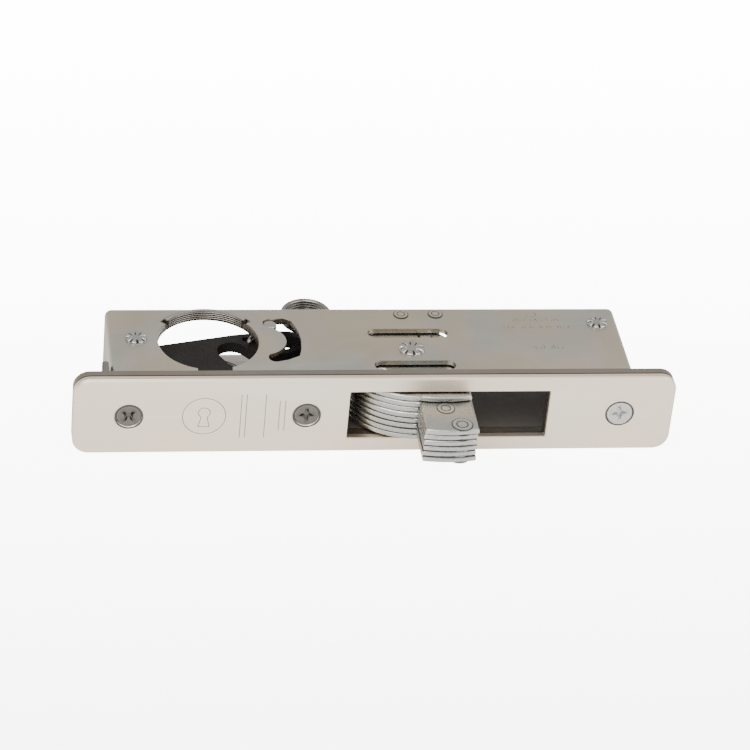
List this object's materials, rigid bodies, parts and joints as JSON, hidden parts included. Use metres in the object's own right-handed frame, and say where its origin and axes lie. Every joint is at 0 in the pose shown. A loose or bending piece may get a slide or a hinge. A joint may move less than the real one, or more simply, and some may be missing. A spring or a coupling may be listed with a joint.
{
  "type": "mortise lock",
  "caption": "Narrow-stile mortise lock with a swinging laminated bolt, a long faceplate, and an open case with a round cylinder hole and clamp.",
  "frame": {"origin": "midway between the two door screw holes, on the mounting plate's seat face", "axes": "+X along the faceplate from the cylinder end to the bolt end, -Y out of the door edge, +Z out of the case's large upper side"},
  "size_m": [0.1746, 0.0682, 0.0254],
  "materials": {
    "satin_faceplate": "fine satin, clear anodised, slightly warm grey",
    "plated_case": "zinc plated sheet with a faint warm iridescence",
    "plate_steel": "zinc plated, darker than the trim",
    "bolt_laminations": "bright zinc plated laminations with sheared edges",
    "rivets": "bright plated rivet steel",
    "black_arm": "black oxide, slightly oily",
    "pins": "ground pin steel",
    "bushings": "turned steel",
    "clamp_strap": "plated strap, threaded inside its arcs",
    "dark_screws": "dark oxide",
    "bright_screw": "bright zinc",
    "spring_wire": "bright drawn spring wire"
  },
  "bodies": {
    "lock_body": {"trim_faceplate": "satin_faceplate", "mounting_plate": "plate_steel", "case_shell": "plated_case", "case_cover": "plated_case", "left_post": "rivets", "bolt_pivot_post": "rivets", "right_post": "rivets", "stop_posts": "rivets", "trim_screw_left": "dark_screws", "trim_screw_right": "bright_screw", "spring_anchor_stud": "pins", "torsion_spring": "spring_wire"},
    "bolt": {"bolt_ply_1": "bolt_laminations", "bolt_ply_2": "bolt_laminations", "bolt_ply_3": "bolt_laminations", "bolt_ply_4": "bolt_laminations", "bolt_ply_5": "bolt_laminations", "bolt_ply_6": "bolt_laminations", "bolt_ply_7": "bolt_laminations", "bolt_ply_8": "bolt_laminations", "bolt_rivet_inner": "rivets", "bolt_rivet_outer": "rivets", "hub_rivets": "rivets", "bolt_bushing": "bushings"},
    "arm": {"drive_arm": "black_arm", "arm_bushing": "bushings", "drive_pin": "pins"},
    "guide": {"guide_pin": "pins"},
    "clamp": {"clamp_yoke": "clamp_strap"},
    "clamp_screw_body": {"clamp_screw": "dark_screws"}
  },
  "joints": [
    {"name": "bolt_turn", "type": "hinge", "parent": "lock_body", "child": "bolt", "pos_m": [0.01196, 0.01484, 0], "axis": [0, 0, 1], "range_deg": [0, 90]},
    {"name": "arm_swing", "type": "hinge", "parent": "lock_body", "child": "arm", "pos_m": [-0.06796, 0.0208, 0], "axis": [0, 0, 1], "range_deg": [-24.6, 0]},
    {"name": "guide_swing", "type": "hinge", "parent": "lock_body", "child": "guide", "pos_m": [-0.0316, 0.01985, 0], "axis": [0, 0, 1], "range_deg": [-138, 0]},
    {"name": "clamp_screw_turn", "type": "hinge", "parent": "lock_body", "child": "clamp_screw_body", "pos_m": [-0.0204, 0, 0], "axis": [0, 1, 0], "range_deg": [0, 360]},
    {"name": "clamp_pull", "type": "slide", "parent": "lock_body", "child": "clamp", "axis": [0, -1, 0], "range_m": [0, 0.0008]}
  ],
  "couplings": [
    {"joint": "arm_swing", "follows": "bolt_turn", "ratio": -0.27333},
    {"joint": "guide_swing", "follows": "bolt_turn", "ratio": -1.5333},
    {"joint": "clamp_pull", "follows": "clamp_screw_turn", "m_per_rad": 0.0001264}
  ]
}
